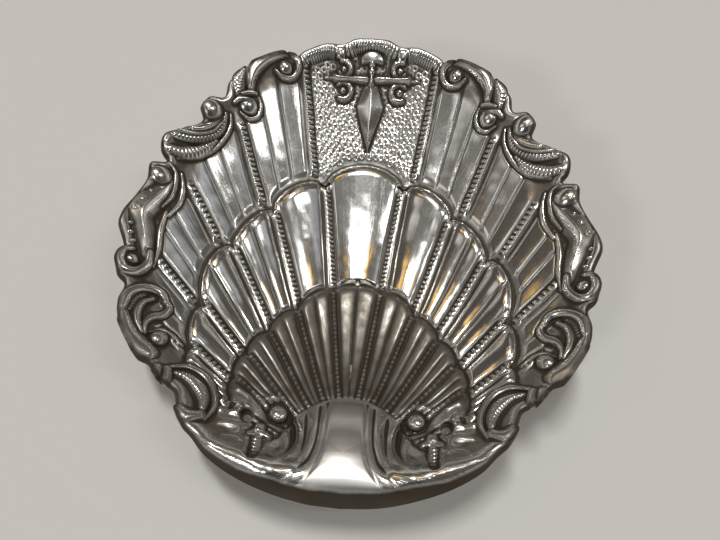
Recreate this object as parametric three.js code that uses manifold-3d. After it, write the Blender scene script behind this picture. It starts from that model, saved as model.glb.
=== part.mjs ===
// A struck silver scallop dish: one thin sheet with three tiers of flutes, a scrolled rim, a smooth umbo
// between two hollow ears and a raised sword cross, standing on three ball feet.
// Millimetres, +Z up, +Y from the umbo towards the cross. The origin is on the table under the middle.
import * as THREE from 'three';
import Module from 'manifold-3d';
import { mergeVertices } from 'three/addons/utils/BufferGeometryUtils.js';

const wasm = await Module();
wasm.setup();

// Overall size
const dishWidth = 99;
const dishLength = 104;
const standHeight = 5;
const bowlDepth = 17.5;
const sheetThickness = 0.45;

// The plan is drawn in millimetres at the size of one dish and stretched to the size above.
// Half of the trimmed edge, from the top of the fan down the right side to the umbo's lip.
const edgePlan = [
  [0, 52], [4, 51.7], [6.3, 50.5], [11, 50.1], [15.5, 48.2], [17.6, 46.7], [20, 47], [25, 44.9],
  [30, 40.6], [32.6, 36.5], [32.9, 34.2], [35.6, 33.7], [37.4, 31], [36.8, 28.2], [40.4, 25.2],
  [43.9, 22.2], [44, 18.6], [42.9, 16.8], [45.6, 15.4], [46, 11.4], [49.2, 3], [49.5, 0.2],
  [48, -4.4], [49, -7], [48, -10.8], [46.5, -12.4], [46.9, -16], [45.4, -22], [41.2, -27.6],
  [38.6, -28.9], [37.8, -31.4], [35.8, -33.4], [33.2, -34], [32.5, -37.5], [30.9, -40.2],
  [28.9, -41.2], [25.4, -44.6], [20, -47.9], [13.5, -50.3], [7, -51.6], [0, -52],
];

// All flutes radiate from this place on the long axis.
const focusY = -45;

// The bowl deepens to its floor here and rises to the rim over these reaches.
const floorY = -10;
const sideReach = 49;
const fanReach = 60;
const umboReach = 42;
const steepestShare = 1.1;

// Tiers: where the lobes part, in degrees from the long axis, how far out the cusps between them lie,
// how far each lobe's tip reaches past its cusps, and how many flutes each lobe holds.
const innerTier = {
  cuspAngles: [7.5, 20, 32.2, 43.7, 54, 64],
  cuspRadii: [40.4, 36.8, 33.7, 31, 28.3, 24.5],
  tipReaches: [1.7, 1.8, 1.6, 1.5, 1.5, 1.3],
  flutes: [1, 2, 2, 2, 2, 1],
};
const middleTier = {
  cuspAngles: [7.8, 19.5, 30.8, 44.6, 55.5, 65.5],
  cuspRadii: [64.9, 60.4, 53.9, 44.7, 38.6, 33.2],
  tipReaches: [5.3, 3.4, 2.4, 3.7, 2.2, 1.6],
  flutes: [1, 1, 2, 2, 2, 1],
};
const outerTier = {
  cuspAngles: [9.8, 21.2, 33, 46.3, 57.5, 68],
  flutes: [1, 3, 3, 3, 2, 2],
};
const innerStart = 15;
const fanEnd = 68;
const earStart = 84;
const lipMiddle = 150;
const beadedRibWidth = 1.7;
const beadedRibHeight = 0.45;
const grooveDepth = 0.4;
const fluteCrown = 0.13;
const widestFlute = 9;
const tongueLift = 1.3;
const tipLength = 2.2;
const channelWidth = 1.3;
const channelDepth = 0.7;
const channelRise = 1.6;

// Rim: a crest along the trimmed edge, turned down outside, with a channel and a second ridge inside.
const skirtDrop = 2.4;
const skirtWidth = 0.9;
const crest = { inset: 2, height: 0.6, halfWidth: 1.2, topHalfWidth: 1.6 };
const hollow = { inset: 4.2, depth: 1.2, halfWidth: 1.1 };
const innerRidge = { inset: 6, height: 0.6, halfWidth: 0.9 };
const rimBandWidth = 8;
const topRimHalfWidth = 17;
const topRimBandWidth = 3.6;

// Umbo: a smooth convex neck that swells and rolls over the edge, between two hollow ears.
const neckHalfWidth = 8;
const neckMiddleY = -39;
const neckHalfLength = 6.5;
const neckRise = 4.2;
const lipWidth = 4.5;
const lipDrop = 8;
const lipSideDrop = 3.6;
const lipCrest = { height: 0.4, halfWidth: 2 };
const ear = { x: 13.5, y: -38.5, radius: 7.5, depth: 3, floorShare: 0.35 };

// Round bosses: the rim's balls, the eyes of its volutes and the eyes of the ears.
const bosses = [
  { x: 35.1, y: 31.2, radius: 2.5, height: 1.5 },
  { x: 43.5, y: 14, radius: 2.4, height: 1.5 },
  { x: 46, y: -6.8, radius: 2.4, height: 1.2 },
  { x: 20.3, y: 43, radius: 2.2, height: 1.3 },
  { x: 27.2, y: 34, radius: 2, height: 1 },
  { x: 41.2, y: -14.8, radius: 2.2, height: 1.1 },
  { x: 38.2, y: -22.8, radius: 2, height: 1 },
  { x: 29.8, y: -36.4, radius: 2.3, height: 1.4 },
  { x: 35.8, y: -30.9, radius: 2, height: 1.1 },
  { x: 14, y: -33.8, radius: 3, height: 2 },
];

// Scroll ridges of the rim, each along a curve through a few places.
const scrolls = [
  { path: [[19, 45.6], [24.5, 43], [28.5, 39.4], [30.4, 35.8]], width: 2.4, height: 0.9 },
  { path: [[32, 31.4], [34.6, 25.6], [38.2, 22.8], [42.2, 21.6]], width: 2.2, height: 1.1 },
  { path: [[43.2, 11.6], [46.6, 3.6], [44.4, -4.6]], width: 2.4, height: 1.1 },
  { path: [[43, -12.6], [44.2, -17.5], [42.8, -23], [39.6, -26.6]], width: 2.6, height: 1.1 },
  { path: [[33.6, -29.6], [30.2, -30.2], [27.6, -33.4], [27, -37.6]], width: 2.2, height: 1.1 },
];

// Cross: a sword for its long arm, scrolled ends on the others.
const cross = { x: 0.3, y: 44.1, height: 0.7, sink: 0.34 };
const swordShoulderY = 38.8;
const swordPointY = 28.4;
const swordHalfWidth = 3;
const swordWaist = 1;
const armReach = 8;
const armHalfWidth = 0.75;
const curlRadius = 1.35;
const curlWidth = 0.8;
const headY = 48;
const headHalfWidth = 2.6;

// Two crescent stress tears, in the cusps beside the middle lobe.
const tear = { x: 9.3, y: 19.6, halfWidth: 1.1, sag: 0.9, gap: 0.45 };

// Feet: a ball filed flat below, and a neck that flares to a pad under the sheet.
const ballRadius = 2.8;
const filedDepth = 0.3;
const neckRadius = 1.3;
const padRadius = 2.1;
const padThickness = 0.5;
const solderGap = 0.3;
const feet = [
  { name: 'foot_left', x: -15, y: 5 },
  { name: 'foot_right', x: 15, y: 5 },
  { name: 'foot_rear', x: 0, y: -24 },
];

const degrees = Math.PI / 180;
const fullTurn = 2 * Math.PI;
const lerp = THREE.MathUtils.lerp;
const smoothstep = THREE.MathUtils.smoothstep;

// A smooth bump of height 1 and the given half width.
function bump(distance, halfWidth) {
  return Math.exp(-((distance / halfWidth) ** 2));
}

// Half of a round profile: 0 at the edge, 1 once a full length inside it.
function roundedEdge(inset, length) {
  const share = Math.min(Math.max(inset / length, 0), 1);
  return Math.sqrt(1 - (1 - share) ** 2);
}

// The trimmed edge as a closed curve, and its radius about the focus at any angle from the long axis.
const edgeCurve = new THREE.CatmullRomCurve3(
  edgePlan.map(([x, y]) => new THREE.Vector3(x, y, 0)),
  false,
  'centripetal',
);
const edgeSamples = 720;
const edgeTable = edgeCurve.getSpacedPoints(edgeSamples).reduce((table, point, index) => {
  const angle = index === edgeSamples ? Math.PI : Math.atan2(Math.max(point.x, 0), point.y - focusY);
  const radius = Math.hypot(point.x, point.y - focusY);
  const last = table[table.length - 1];
  if (!last || angle > last.angle) {
    table.push({ angle, radius });
  }
  return table;
}, []);

function edgeRadius(angle) {
  const turned = Math.abs(angle);
  let low = 0;
  let high = edgeTable.length - 1;
  while (high - low > 1) {
    const middle = (low + high) >> 1;
    if (edgeTable[middle].angle > turned) {
      high = middle;
    } else {
      low = middle;
    }
  }
  const from = edgeTable[low];
  const to = edgeTable[high];
  const share = Math.min((turned - from.angle) / (to.angle - from.angle), 1);
  return lerp(from.radius, to.radius, share);
}

// The same radius with the notches between the scrolls smoothed away.
const smoothingHalfAngle = 4 * degrees;
const smoothingSteps = 8;

function smoothEdgeRadius(angle) {
  let sum = 0;
  for (let step = -smoothingSteps; step <= smoothingSteps; step += 1) {
    const turned = Math.abs(angle) + (smoothingHalfAngle * step) / smoothingSteps;
    sum += edgeRadius(turned > Math.PI ? fullTurn - turned : turned);
  }
  return sum / (2 * smoothingSteps + 1);
}

// How squarely a ray from the focus meets the edge.
function edgeSquareness(angle) {
  const step = 2 * degrees;
  const turned = Math.min(Math.abs(angle), Math.PI - step);
  const slope = (smoothEdgeRadius(turned + step) - smoothEdgeRadius(turned - step)) / (2 * step);
  return 1 / Math.hypot(1, slope / smoothEdgeRadius(turned));
}

// The lobe of a tier at an angle, and the place across it from -1 to 1.
function lobeAt(tier, angle) {
  const turned = Math.abs(angle) / degrees;
  const last = tier.cuspAngles.length - 1;
  const found = tier.cuspAngles.findIndex((cusp) => turned < cusp);
  const index = found < 0 ? last : found;
  const high = tier.cuspAngles[index];
  const low = index === 0 ? -high : tier.cuspAngles[index - 1];
  const share = Math.min((turned - low) / (high - low), 1);
  return { index, low, high, share };
}

// Radius of the scalloped line where a tier's tongues end.
function tierEdge(tier, angle) {
  const { index, share } = lobeAt(tier, angle);
  const high = tier.cuspRadii[index];
  const low = index === 0 ? high : tier.cuspRadii[index - 1];
  return lerp(low, high, share) + tier.tipReaches[index] * Math.sqrt(1 - (2 * share - 1) ** 2);
}

// Height of the flutes and beaded ribs of a tier across the fan, at a radius from the focus.
function fluteHeight(tier, angle, radius) {
  const { index, low, high, share } = lobeAt(tier, angle);
  const turned = Math.abs(angle) / degrees;
  const toRib = Math.min(high - turned, index === 0 ? high + turned : turned - low);
  const ribDistance = toRib * degrees * radius;
  const ribHalf = beadedRibWidth / 2;
  if (ribDistance < ribHalf) {
    return beadedRibHeight * (1 - (ribDistance / ribHalf) ** 2) - grooveDepth;
  }
  const ribShare = ribHalf / ((high - low) * degrees * radius);
  const count = tier.flutes[index];
  const along = (count * (share - ribShare)) / (1 - 2 * ribShare);
  const across = 2 * (along - Math.floor(along)) - 1;
  const crown = fluteCrown * Math.min(((high - low) * degrees * radius) / count, widestFlute);
  return crown * (1 - across ** 2) - grooveDepth;
}

function bowlHeight(x, y) {
  const reach = y > floorY ? fanReach : umboReach;
  const share = (x / sideReach) ** 2 + ((y - floorY) / reach) ** 2;
  return standHeight + bowlDepth * Math.min(share, steepestShare);
}

// Tongues of a tier above the bowl: they leave the channel inside them, rise, and roll down at their tips.
function tongueHeight(tier, angle, radius, start, edge) {
  const along = Math.min(Math.max((radius - start) / (edge - start), 0), 1);
  const lift = tongueLift * along * along + fluteHeight(tier, angle, radius);
  const leaving = smoothstep(radius - start, channelWidth / 2, channelWidth / 2 + channelRise);
  const tip = roundedEdge(edge - radius, tipLength);
  return (lift + channelDepth) * leaving * tip - channelDepth;
}

function fanHeight(angle, radius) {
  const inner = tierEdge(innerTier, angle);
  const middle = tierEdge(middleTier, angle);
  if (radius < inner) {
    return tongueHeight(innerTier, angle, radius, innerStart - channelWidth, inner);
  }
  if (radius < middle) {
    return tongueHeight(middleTier, angle, radius, inner, middle);
  }
  const panel = Math.abs(angle) < (outerTier.cuspAngles[0] - 1) * degrees;
  const flutes = panel ? -grooveDepth : fluteHeight(outerTier, angle, radius);
  const leaving = smoothstep(radius - middle, channelWidth / 2, channelWidth / 2 + channelRise);
  return (flutes + channelDepth) * leaving - channelDepth;
}

// Distance from a place to a curve through a few places.
const scrollSteps = 14;
for (const scroll of scrolls) {
  const curve = new THREE.CatmullRomCurve3(scroll.path.map(([x, y]) => new THREE.Vector3(x, y, 0)));
  scroll.samples = curve.getPoints(scrollSteps);
}

function distanceToScroll(scroll, x, y) {
  return Math.min(...scroll.samples.map((sample) => Math.hypot(x - sample.x, y - sample.y)));
}

// Raised scrolls and bosses. Both halves of the dish are alike.
function ornamentHeight(x, y) {
  const side = Math.abs(x);
  let height = 0;
  for (const scroll of scrolls) {
    height += scroll.height * bump(distanceToScroll(scroll, side, y), scroll.width / 2);
  }
  for (const boss of bosses) {
    const distance = Math.hypot(side - boss.x, y - boss.y);
    height += boss.height * Math.sqrt(Math.max(1 - (distance / boss.radius) ** 2, 0));
  }
  return height;
}

// The rim above the bowl, by the distance inside the trimmed edge.
function scrolledRimHeight(inset) {
  return crest.height * bump(inset - crest.inset, crest.halfWidth)
    - hollow.depth * bump(inset - hollow.inset, hollow.halfWidth)
    + innerRidge.height * bump(inset - innerRidge.inset, innerRidge.halfWidth);
}

function topRimHeight(inset) {
  return crest.height * bump(inset - crest.inset, crest.topHalfWidth);
}

// The lip rolls down outside: deepest at the umbo, less beside the ears.
function lipHeight(inset, turned) {
  const rolled = Math.min(inset / lipWidth, 1);
  const drop = lerp(lipSideDrop, lipDrop, smoothstep(turned, earStart, lipMiddle));
  return lipCrest.height * bump(inset - lipWidth, lipCrest.halfWidth) - drop * (1 - rolled) ** 2;
}

function neckHeight(x, y) {
  const across = Math.min(Math.abs(x) / neckHalfWidth, 1);
  return neckRise * bump(y - neckMiddleY, neckHalfLength) * (1 - across ** 2);
}

function earHeight(x, y) {
  const distance = Math.hypot(Math.abs(x) - ear.x, y - ear.y) / ear.radius;
  return -ear.depth * (1 - smoothstep(distance, ear.floorShare, 1));
}

// Height of the sheet's upper face at a place of the plan.
function upperHeight(x, y) {
  const angle = Math.atan2(x, y - focusY);
  const radius = Math.hypot(x, y - focusY);
  const inset = (edgeRadius(angle) - radius) * edgeSquareness(angle);
  const turned = Math.abs(angle) / degrees;
  const inFan = 1 - smoothstep(turned, fanEnd - 4, fanEnd + 4);
  const inLip = smoothstep(turned, earStart - 6, earStart + 6);
  const atTop = 1 - smoothstep(Math.abs(x), topRimHalfWidth - 1, topRimHalfWidth + 1);
  const bandWidth = y > 0 ? lerp(rimBandWidth, topRimBandWidth, atTop) : rimBandWidth;
  const onRim = 1 - smoothstep(inset, bandWidth - 1.6, bandWidth);
  const onTop = y > 0 ? atTop : 0;
  const scrolled = lerp(scrolledRimHeight(inset), topRimHeight(inset), onTop);
  const rim = lerp(scrolled, lipHeight(inset, turned), inLip);
  const skirt = (1 - inLip) * skirtDrop * Math.max(1 - inset / skirtWidth, 0) ** 1.5;
  const beyondStart = smoothstep(radius, innerStart - channelWidth, innerStart);
  const flutes = inFan * beyondStart * (1 - onRim) * fanHeight(angle, radius);
  const neck = neckHeight(x, y);
  return bowlHeight(x, y) + flutes + onRim * rim - skirt + ornamentHeight(x, y) + neck + earHeight(x, y);
}

// Height of the lower face: the sheet's thickness, measured square to its slope, below the upper one.
const steepestThickening = 2.4;

function lowerHeight(x, y) {
  const step = 0.2;
  const slopeX = (upperHeight(x + step, y) - upperHeight(x - step, y)) / (2 * step);
  const slopeY = (upperHeight(x, y + step) - upperHeight(x, y - step)) / (2 * step);
  const thickening = Math.min(Math.hypot(1, slopeX, slopeY), steepestThickening);
  return upperHeight(x, y) - sheetThickness * thickening;
}

// The plan is stretched to the dish's size and centred on the origin.
const planWidth = 2 * Math.max(...edgePlan.map(([x]) => x));
const planTop = Math.max(...edgePlan.map(([, y]) => y));
const planBottom = Math.min(...edgePlan.map(([, y]) => y));
const stretchX = dishWidth / planWidth;
const stretchY = dishLength / (planTop - planBottom);
const planMiddleY = (planTop + planBottom) / 2;

function toDish(x, y, z) {
  return [x * stretchX, (y - planMiddleY) * stretchY, z];
}

// Rings of the sheet about the focus, from the umbo outwards. Each has its own angles.
function mirrored(angles) {
  const sorted = [...new Set(angles.map((angle) => Number(angle.toFixed(4))))].sort((a, b) => a - b);
  const others = sorted.filter((angle) => angle > 0 && angle < 180).map((angle) => -angle);
  return [...others.reverse(), ...sorted].map((angle) => angle * degrees);
}

// Angles of a tier: each beaded rib's edges and crest, each flute's edges and crest, then the ears
// and the lip.
const earEnd = 112;
const earSteps = 10;
const lipSteps = 5;

function tierAngles(tier, ribHalfAngle) {
  const angles = [0];
  tier.cuspAngles.forEach((cusp, index) => {
    const low = index === 0 ? -cusp : tier.cuspAngles[index - 1];
    const from = low + ribHalfAngle;
    const to = cusp - ribHalfAngle;
    const count = tier.flutes[index];
    const pieces = count * (count === 1 ? 4 : 2);
    for (let piece = 0; piece <= pieces; piece += 1) {
      const angle = lerp(from, to, piece / pieces);
      if (angle >= 0) {
        angles.push(angle);
      }
    }
    angles.push(cusp);
  });
  const last = tier.cuspAngles[tier.cuspAngles.length - 1];
  for (let step = 1; step <= earSteps; step += 1) {
    angles.push(lerp(last, earEnd, step / earSteps));
  }
  for (let step = 1; step <= lipSteps; step += 1) {
    angles.push(lerp(earEnd, 180, step / lipSteps));
  }
  return mirrored(angles);
}

function evenAngles(step) {
  return mirrored(Array.from({ length: Math.round(180 / step) + 1 }, (unused, index) => index * step));
}

// Angles that are evenly spaced along the trimmed edge.
function rimAngles(spacing) {
  const count = Math.round(edgeCurve.getLength() / spacing);
  const points = edgeCurve.getSpacedPoints(count);
  return mirrored(points.map((point, index) => {
    const onAxis = index === count;
    return onAxis ? 180 : Math.atan2(Math.max(point.x, 0), point.y - focusY) / degrees;
  }));
}

// The radii at which the umbo, the inner and the middle tier end. Past the fan they are shares of the edge.
const startShare = 0.2;
const innerShare = 0.42;
const middleShare = 0.66;

function stations(angle) {
  const inFan = 1 - smoothstep(Math.abs(angle) / degrees, fanEnd - 4, earStart);
  const edge = smoothEdgeRadius(angle);
  return {
    start: lerp(startShare * edge, innerStart, inFan),
    inner: lerp(innerShare * edge, tierEdge(innerTier, angle), inFan),
    middle: lerp(middleShare * edge, tierEdge(middleTier, angle), inFan),
  };
}

// A radius inside the trimmed edge. Deep inside, it follows the edge without its notches.
const notchReach = 5;
const widestBandShare = 0.28;

function insetRadius(angle, inset) {
  const edge = edgeRadius(angle);
  const share = Math.min(inset / notchReach, 1);
  const followed = lerp(edge, smoothEdgeRadius(angle), share);
  const longest = widestBandShare * edge * (inset / rimBandWidth);
  return followed - Math.min(inset / edgeSquareness(angle), longest);
}

function sheetRings() {
  const neckAngles = evenAngles(10);
  const innerAngles = tierAngles(innerTier, 1.5);
  const middleAngles = tierAngles(middleTier, 1);
  const outerAngles = tierAngles(outerTier, 0.8);
  const edgeAngles = rimAngles(2.1);
  const rings = [];
  const add = (angles, radiusAt) => {
    rings.push(angles.map((angle) => ({ angle, radius: radiusAt(angle) })));
  };
  for (const share of [0.25, 0.5, 0.75]) {
    add(neckAngles, (angle) => share * stations(angle).start);
  }
  add(innerAngles, (angle) => stations(angle).start);
  for (const share of [0.35, 0.7]) {
    add(innerAngles, (angle) => lerp(stations(angle).start, stations(angle).inner - tipLength, share));
  }
  add(innerAngles, (angle) => stations(angle).inner - 0.8 * tipLength);
  add(innerAngles, (angle) => stations(angle).inner - 0.2 * tipLength);
  add(middleAngles, (angle) => stations(angle).inner + 0.5 * channelWidth);
  const leave = channelWidth / 2 + channelRise;
  for (const share of [0, 0.4, 0.8]) {
    add(middleAngles, (angle) => {
      const { inner, middle } = stations(angle);
      const from = Math.min(inner + leave, lerp(inner, middle, 0.4));
      return lerp(from, Math.max(middle - 0.8 * tipLength, lerp(inner, middle, 0.7)), share);
    });
  }
  add(middleAngles, (angle) => stations(angle).middle - 0.8 * tipLength * thinning(angle));
  add(middleAngles, (angle) => stations(angle).middle - 0.2 * tipLength * thinning(angle));
  add(outerAngles, (angle) => stations(angle).middle + 0.5 * channelWidth * thinning(angle));
  for (const share of [0, 0.35, 0.7]) {
    add(outerAngles, (angle) => {
      const from = stations(angle).middle + leave * thinning(angle);
      return lerp(from, insetRadius(angle, rimBandWidth), share);
    });
  }
  const { inset: top } = crest;
  const insets = [rimBandWidth, innerRidge.inset, hollow.inset, 1.4 * top, 0.85 * top, skirtWidth - 0.1, 0];
  for (const inset of insets) {
    add(edgeAngles, (angle) => insetRadius(angle, inset));
  }
  return rings;
}

// Ring spacings shrink towards the umbo's lip, where the edge is close to the focus.
function thinning(angle) {
  return lerp(1, 0.25, smoothstep(Math.abs(angle) / degrees, fanEnd, lipMiddle));
}

// Joins two neighbouring rings of points with triangles, by the angles of their points.
function stitch(faces, inner, outer) {
  let i = 0;
  let j = 0;
  while (i < inner.length || j < outer.length) {
    const nextInner = i < inner.length ? inner[(i + 1) % inner.length] : null;
    const nextOuter = j < outer.length ? outer[(j + 1) % outer.length] : null;
    const innerAngle = nextInner ? nextInner.angle + (i + 1 === inner.length ? fullTurn : 0) : Infinity;
    const outerAngle = nextOuter ? nextOuter.angle + (j + 1 === outer.length ? fullTurn : 0) : Infinity;
    const fromInner = inner[i % inner.length];
    const fromOuter = outer[j % outer.length];
    if (innerAngle <= outerAngle) {
      faces.push([fromInner.index, nextInner.index, fromOuter.index]);
      i += 1;
    } else {
      faces.push([fromInner.index, nextOuter.index, fromOuter.index]);
      j += 1;
    }
  }
}

// A closed sheet from rings: an upper and a lower face with the same triangles, and a rim between them.
function sheetGeometry(rings) {
  const places = [{ x: 0, y: focusY }];
  const numbered = rings.map((ring) => ring.map(({ angle, radius }) => {
    places.push({ x: radius * Math.sin(angle), y: focusY + radius * Math.cos(angle) });
    return { angle, index: places.length - 1 };
  }));
  const faces = [];
  const first = numbered[0];
  first.forEach((point, index) => {
    faces.push([0, first[(index + 1) % first.length].index, point.index]);
  });
  for (let ring = 1; ring < numbered.length; ring += 1) {
    stitch(faces, numbered[ring - 1], numbered[ring]);
  }
  const count = places.length;
  const upper = places.map(({ x, y }) => toDish(x, y, upperHeight(x, y)));
  const lower = places.map(({ x, y }) => toDish(x, y, lowerHeight(x, y)));
  const triangles = [];
  for (const [a, b, c] of faces) {
    triangles.push([a, b, c], [a + count, c + count, b + count]);
  }
  const edge = numbered[numbered.length - 1];
  edge.forEach((point, index) => {
    const from = point.index;
    const to = edge[(index + 1) % edge.length].index;
    triangles.push([from, to, from + count], [to, to + count, from + count]);
  });
  return meshGeometry([...upper, ...lower], triangles);
}

function meshGeometry(points, triangles) {
  const geometry = new THREE.BufferGeometry();
  geometry.setAttribute('position', new THREE.Float32BufferAttribute(points.flat(), 3));
  geometry.setIndex(triangles.flat());
  return geometry;
}

// Conversions for cutting and joining
function toSolid(geometry) {
  const bare = geometry.clone();
  bare.deleteAttribute('normal');
  bare.deleteAttribute('uv');
  const merged = mergeVertices(bare, 1e-5);
  return new wasm.Manifold(new wasm.Mesh({
    numProp: 3,
    vertProperties: new Float32Array(merged.attributes.position.array),
    triVerts: new Uint32Array(merged.index.array),
  }));
}

function toGeometry(solid) {
  const mesh = solid.getMesh();
  const geometry = new THREE.BufferGeometry();
  geometry.setAttribute('position', new THREE.BufferAttribute(mesh.vertProperties, 3));
  geometry.setIndex(new THREE.BufferAttribute(mesh.triVerts, 1));
  return geometry;
}

// A flat outline raised from the sheet: its walls follow the sheet from just under its upper face.
function raisedSolid(shape, height) {
  const geometry = new THREE.ExtrudeGeometry(shape, { depth: 1, bevelEnabled: false, curveSegments: 6 });
  const position = geometry.attributes.position;
  for (let index = 0; index < position.count; index += 1) {
    const x = position.getX(index);
    const y = position.getY(index);
    const above = position.getZ(index) > 0.5 ? height : -cross.sink;
    position.setXYZ(index, ...toDish(x, y, upperHeight(x, y) + above));
  }
  return toSolid(geometry);
}

// A polygon of the cross. Its sides are in short pieces, so that they follow the sheet.
const longestPiece = 1.5;

function polygon(points) {
  const outline = [];
  points.forEach(([x, y], index) => {
    const [nextX, nextY] = points[(index + 1) % points.length];
    const pieces = Math.ceil(Math.hypot(nextX - x, nextY - y) / longestPiece);
    for (let piece = 0; piece < pieces; piece += 1) {
      const share = piece / pieces;
      outline.push(new THREE.Vector2(cross.x + lerp(x, nextX, share), lerp(y, nextY, share)));
    }
  });
  return new THREE.Shape(outline);
}

// One curl of a scrolled arm: an open ring, hooked over or under the arm's end.
function curl(side, over) {
  const shape = new THREE.Shape();
  const x = cross.x + side * (armReach - curlRadius);
  const y = cross.y + over * (curlRadius + armHalfWidth / 2);
  const inner = curlRadius - curlWidth / 2;
  const outer = curlRadius + curlWidth / 2;
  const from = -over * 0.5 * Math.PI;
  const to = from + side * over * 1.35 * Math.PI;
  const clockwise = side * over < 0;
  shape.absarc(x, y, outer, from, to, clockwise);
  shape.absarc(x, y, inner, to, from, !clockwise);
  return shape;
}

function crossSolid() {
  const shapes = [
    polygon([[-swordWaist, cross.y], [-swordHalfWidth, swordShoulderY], [0, swordPointY],
      [swordHalfWidth, swordShoulderY], [swordWaist, cross.y]]),
    polygon([[-armReach - 1.5, cross.y], [0, cross.y - armHalfWidth], [armReach + 1.5, cross.y],
      [0, cross.y + armHalfWidth]]),
    polygon([[-armHalfWidth, cross.y], [armHalfWidth, cross.y], [armHalfWidth, headY - 0.6],
      [headHalfWidth, headY - 0.8], [headHalfWidth - 0.6, headY + 0.5], [0, headY + 0.9],
      [0.6 - headHalfWidth, headY + 0.5], [-headHalfWidth, headY - 0.8], [-armHalfWidth, headY - 0.6]]),
    curl(-1, -1),
    curl(-1, 1),
    curl(1, -1),
    curl(1, 1),
  ];
  return shapes.map((shape) => raisedSolid(shape, cross.height)).reduce((sum, solid) => sum.add(solid));
}

// A crescent cut straight through the sheet.
function tearSolid(side) {
  const shape = new THREE.Shape();
  const x = side * tear.x;
  shape.moveTo(x - tear.halfWidth, tear.y);
  shape.quadraticCurveTo(x, tear.y - 2 * tear.sag, x + tear.halfWidth, tear.y);
  shape.quadraticCurveTo(x, tear.y - 2 * (tear.sag - tear.gap), x - tear.halfWidth, tear.y);
  const geometry = new THREE.ExtrudeGeometry(shape, { depth: 1, bevelEnabled: false, curveSegments: 5 });
  const middle = upperHeight(x, tear.y);
  const reach = 3;
  const position = geometry.attributes.position;
  for (let index = 0; index < position.count; index += 1) {
    const height = middle + (position.getZ(index) > 0.5 ? reach : -reach);
    position.setXYZ(index, ...toDish(position.getX(index), position.getY(index), height));
  }
  return toSolid(geometry);
}

function shellSheet() {
  const sheet = toSolid(sheetGeometry(sheetRings()));
  return toGeometry(sheet.add(crossSolid()).subtract(tearSolid(-1)).subtract(tearSolid(1)));
}

// A foot as rings about its own axis: the filed flat, the ball, the neck, then a pad under the sheet.
const footSides = 24;
const ballSteps = 9;

function footGeometry(foot) {
  const [centreX, centreY] = toDish(foot.x, foot.y, 0);
  const underside = (x, y) => lowerHeight(x / stretchX, y / stretchY + planMiddleY) - solderGap;
  const ballMiddle = ballRadius - filedDepth;
  const flatAngle = Math.asin(ballMiddle / ballRadius);
  const neckAngle = Math.acos(neckRadius / ballRadius);
  const rings = [];
  for (let step = 0; step <= ballSteps; step += 1) {
    const angle = lerp(-flatAngle, neckAngle, step / ballSteps);
    rings.push({ radius: ballRadius * Math.cos(angle), z: ballMiddle + ballRadius * Math.sin(angle) });
  }
  rings.push({ radius: padRadius, below: padThickness });
  rings.push({ radius: padRadius, below: 0 });
  rings.push({ radius: padRadius / 2, below: 0 });
  const points = [[centreX, centreY, 0]];
  for (const ring of rings) {
    for (let side = 0; side < footSides; side += 1) {
      const turned = (fullTurn * side) / footSides;
      const x = centreX + ring.radius * Math.cos(turned);
      const y = centreY + ring.radius * Math.sin(turned);
      points.push([x, y, ring.z ?? underside(x, y) - ring.below]);
    }
  }
  points.push([centreX, centreY, underside(centreX, centreY)]);
  const top = points.length - 1;
  const triangles = [];
  const at = (ring, side) => 1 + ring * footSides + (side % footSides);
  for (let side = 0; side < footSides; side += 1) {
    triangles.push([0, at(0, side + 1), at(0, side)]);
    for (let ring = 1; ring < rings.length; ring += 1) {
      triangles.push([at(ring - 1, side), at(ring - 1, side + 1), at(ring, side)]);
      triangles.push([at(ring - 1, side + 1), at(ring, side + 1), at(ring, side)]);
    }
    triangles.push([at(rings.length - 1, side), at(rings.length - 1, side + 1), top]);
  }
  return meshGeometry(points, triangles);
}

const silver = { color: 0xc9c6bf, metalness: 1, roughness: 0.22 };
const dullSilver = { color: 0xa9a59c, metalness: 1, roughness: 0.38 };

function namedMesh(name, geometry, look) {
  geometry.computeVertexNormals();
  const mesh = new THREE.Mesh(geometry, new THREE.MeshStandardMaterial(look));
  mesh.name = name;
  return mesh;
}

const dish = new THREE.Group();
dish.add(namedMesh('shell_sheet', shellSheet(), silver));
for (const foot of feet) {
  dish.add(namedMesh(foot.name, footGeometry(foot), dullSilver));
}

export default dish;
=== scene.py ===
import math

import bpy
import numpy as np
from mathutils import Matrix, Quaternion, Vector


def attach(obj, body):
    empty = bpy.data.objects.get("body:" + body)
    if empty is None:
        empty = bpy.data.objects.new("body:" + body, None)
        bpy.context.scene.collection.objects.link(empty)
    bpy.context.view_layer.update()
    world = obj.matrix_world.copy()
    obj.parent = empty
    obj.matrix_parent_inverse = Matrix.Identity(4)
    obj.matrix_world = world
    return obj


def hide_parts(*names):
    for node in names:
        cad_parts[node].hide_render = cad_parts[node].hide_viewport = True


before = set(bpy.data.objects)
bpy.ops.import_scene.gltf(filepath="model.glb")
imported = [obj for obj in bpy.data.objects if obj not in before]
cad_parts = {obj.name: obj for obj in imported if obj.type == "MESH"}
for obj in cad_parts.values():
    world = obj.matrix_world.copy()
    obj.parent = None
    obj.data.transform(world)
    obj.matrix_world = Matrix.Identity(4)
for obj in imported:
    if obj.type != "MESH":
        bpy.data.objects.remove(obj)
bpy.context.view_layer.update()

MM = 0.001
rng = np.random.default_rng(11)

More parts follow.
